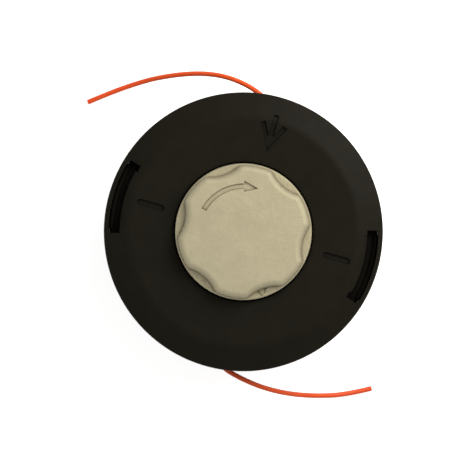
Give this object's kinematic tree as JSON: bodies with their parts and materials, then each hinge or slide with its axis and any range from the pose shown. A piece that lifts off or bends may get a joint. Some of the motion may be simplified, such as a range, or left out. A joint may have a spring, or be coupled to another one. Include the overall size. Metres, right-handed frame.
{
  "type": "bump feed trimmer head",
  "caption": "Bump-feed brush-cutter head: black moulded housing and cover, cast aluminium lobed knob, orange nylon line leaving on opposite sides.",
  "frame": {"origin": "centre of the flat mounting face of the housing's boss, on the spin axis", "axes": "+Z along the spin axis from the mounting face to the knob; +X to the right and +Y up as seen in the picture, which looks down on the knob"},
  "size_m": [0.1428, 0.1608, 0.056],
  "materials": {
    "housing_plastic": "moulded nylon, matte",
    "cover_plastic": "moulded nylon, matte with a fine grain",
    "spool_plastic": "moulded nylon, matte",
    "cast_aluminium": "die-cast and blasted, matte",
    "nylon_line": "extruded nylon, glossy",
    "eyelet_steel": "turned and hardened",
    "plated_steel": "zinc plated",
    "spring_steel": "drawn wire, ground ends"
  },
  "bodies": {
    "housing": {"upper_housing": "housing_plastic", "lower_cover": "cover_plastic", "eyelet_front": "eyelet_steel", "eyelet_rear": "eyelet_steel", "arbor_nut": "plated_steel", "line_end_front": "nylon_line", "line_end_rear": "nylon_line"},
    "spring_seat": {"spring_seat": "plated_steel", "bump_spring": "spring_steel"},
    "spool": {"spool": "spool_plastic", "wound_line_lower": "nylon_line", "wound_line_upper": "nylon_line", "knob_washer": "plated_steel", "knob_screw": "plated_steel", "bump_knob": "cast_aluminium"}
  },
  "joints": [
    {"name": "knob_turn", "type": "hinge", "parent": "housing", "child": "spring_seat", "pos_m": [0, 0, 0], "axis": [0, 0, 1], "continuous": true},
    {"name": "bump_travel", "type": "slide", "parent": "spring_seat", "child": "spool", "axis": [0, 0, -1], "range_m": [0, 0.006], "stiffness_N_per_m": 2900, "springref_m": -0.0105, "deforming": ["bump_spring"]}
  ]
}
